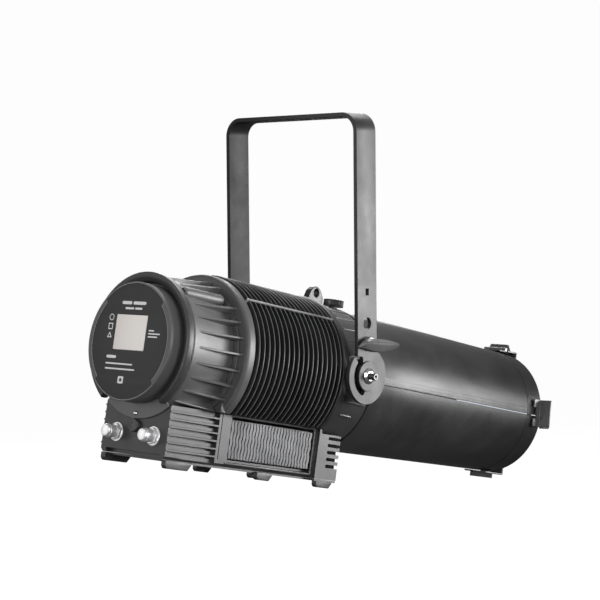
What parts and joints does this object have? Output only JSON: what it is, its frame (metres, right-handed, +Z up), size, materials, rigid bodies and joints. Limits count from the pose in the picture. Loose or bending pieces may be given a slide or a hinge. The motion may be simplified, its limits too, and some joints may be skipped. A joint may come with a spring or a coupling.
{
  "type": "ellipsoidal spotlight",
  "caption": "Ellipsoidal stage spotlight with ribbed rear casing, finned heat sink, base box, sliding lens tube and a flat-strap yoke that tilts on side pivots.",
  "frame": {"origin": "middle of the underside of the bounding box, with the lamp at its rest tilt of 12 degrees front-down", "axes": "+Z up along the yoke legs, +Y horizontally forwards the way the beam points, +X along the tilt pivots"},
  "size_m": [0.272, 0.8286, 0.5561],
  "materials": {
    "black_plastic": "fine moulded texture",
    "black_casting": "black powder coat on die casting",
    "tube_paint": "fine black powder coat",
    "black_bracket": "black powder coat",
    "yoke_paint": "satin black powder coat",
    "black_anodised": "black anodised",
    "grille_metal": "satin",
    "nickel": "nickel plated",
    "bright_steel": "zinc plated",
    "black_steel": "black oxide",
    "friction_pad": "fibre",
    "lens_glass": "polished",
    "screen_glass": "satin display, switched off",
    "circuit_board": "solder mask",
    "led_phosphor": "phosphor",
    "supply_case": "perforated sheet case",
    "fan_plastic": "moulded"
  },
  "bodies": {
    "yoke": {"yoke": "yoke_paint", "lever_bolt": "black_steel", "lever_washer": "bright_steel"},
    "tilt_lever": {"tilt_lever": "black_plastic"},
    "lamp": {"friction_disc_left": "friction_pad", "friction_disc_right": "friction_pad", "pivot_stud_left": "black_steel", "pivot_stud_right": "black_steel", "pivot_washer_left": "bright_steel", "pivot_washer_right": "bright_steel", "hub_disc_left": "yoke_paint", "hub_disc_right": "yoke_paint", "guide_pin_left": "black_steel", "guide_pin_right": "black_steel", "display_bezel": "black_plastic", "display_panel": "black_plastic", "touch_screen": "screen_glass", "control_board": "circuit_board", "rear_casing": "black_plastic", "casing_screw_left": "black_steel", "casing_screw_right": "black_steel", "hood": "black_plastic", "panel_screw": "bright_steel", "flange_ring": "black_casting", "heat_sink": "black_anodised", "front_ring": "black_casting", "gate_collar": "black_casting", "safety_loop": "black_casting", "gate_barrel": "black_anodised", "condenser_lens": "lens_glass", "gate_plate": "black_steel", "led_board": "circuit_board", "led_array": "led_phosphor", "base_housing": "black_casting", "base_plate": "black_casting", "side_grille_left": "grille_metal", "side_grille_right": "grille_metal", "connector_left": "nickel", "connector_right": "nickel", "vent_plug": "black_plastic", "power_supply": "supply_case", "fan_frame": "fan_plastic"},
    "fan_rotor": {"fan_rotor": "fan_plastic"},
    "cap_left": {"connector_cap_left": "nickel"},
    "cap_right": {"connector_cap_right": "nickel"},
    "lens_tube": {"tube_upper_shell": "tube_paint", "tube_lower_shell": "tube_paint", "rear_lens": "lens_glass", "front_lens": "lens_glass", "lens_retainer": "black_steel", "bracket_left": "black_bracket", "bracket_right": "black_bracket", "bracket_bottom": "black_bracket", "latch_bracket": "black_bracket", "latch_pin": "bright_steel"},
    "focus_knob": {"focus_knob": "black_plastic"},
    "accessory_latch": {"accessory_latch": "black_bracket"}
  },
  "joints": [
    {"name": "tilt", "type": "hinge", "parent": "yoke", "child": "lamp", "pos_m": [0, -0.07867, 0.2021], "axis": [1, 0, 0], "range_deg": [-50, 50]},
    {"name": "tilt_lock", "type": "hinge", "parent": "yoke", "child": "tilt_lever", "pos_m": [0.13, -0.07867, 0.2466], "axis": [1, 0, 0], "range_deg": [-20, 90]},
    {"name": "focus", "type": "slide", "parent": "lamp", "child": "lens_tube", "axis": [0, 0.9781, -0.2079], "range_m": [0, 0.04], "stiffness_N_per_m": 2500},
    {"name": "focus_lock", "type": "hinge", "parent": "lens_tube", "child": "focus_knob", "pos_m": [0, -0.00834, 0.29245], "axis": [0, 0.2079, 0.9781], "continuous": true},
    {"name": "latch", "type": "hinge", "parent": "lens_tube", "child": "accessory_latch", "pos_m": [0, 0.38508, 0.20024], "axis": [1, 0, 0], "range_deg": [0, 75]},
    {"name": "fan", "type": "hinge", "parent": "lamp", "child": "fan_rotor", "pos_m": [0, -0.20602, 0.13204], "axis": [0, 0.2079, 0.9781], "continuous": true},
    {"name": "cap_left_turn", "type": "hinge", "parent": "lamp", "child": "cap_left", "pos_m": [-0.034, -0.40653, 0.15064], "axis": [0, 0.9781, -0.2079], "continuous": true},
    {"name": "cap_right_turn", "type": "hinge", "parent": "lamp", "child": "cap_right", "pos_m": [0.034, -0.40653, 0.15064], "axis": [0, 0.9781, -0.2079], "continuous": true}
  ]
}
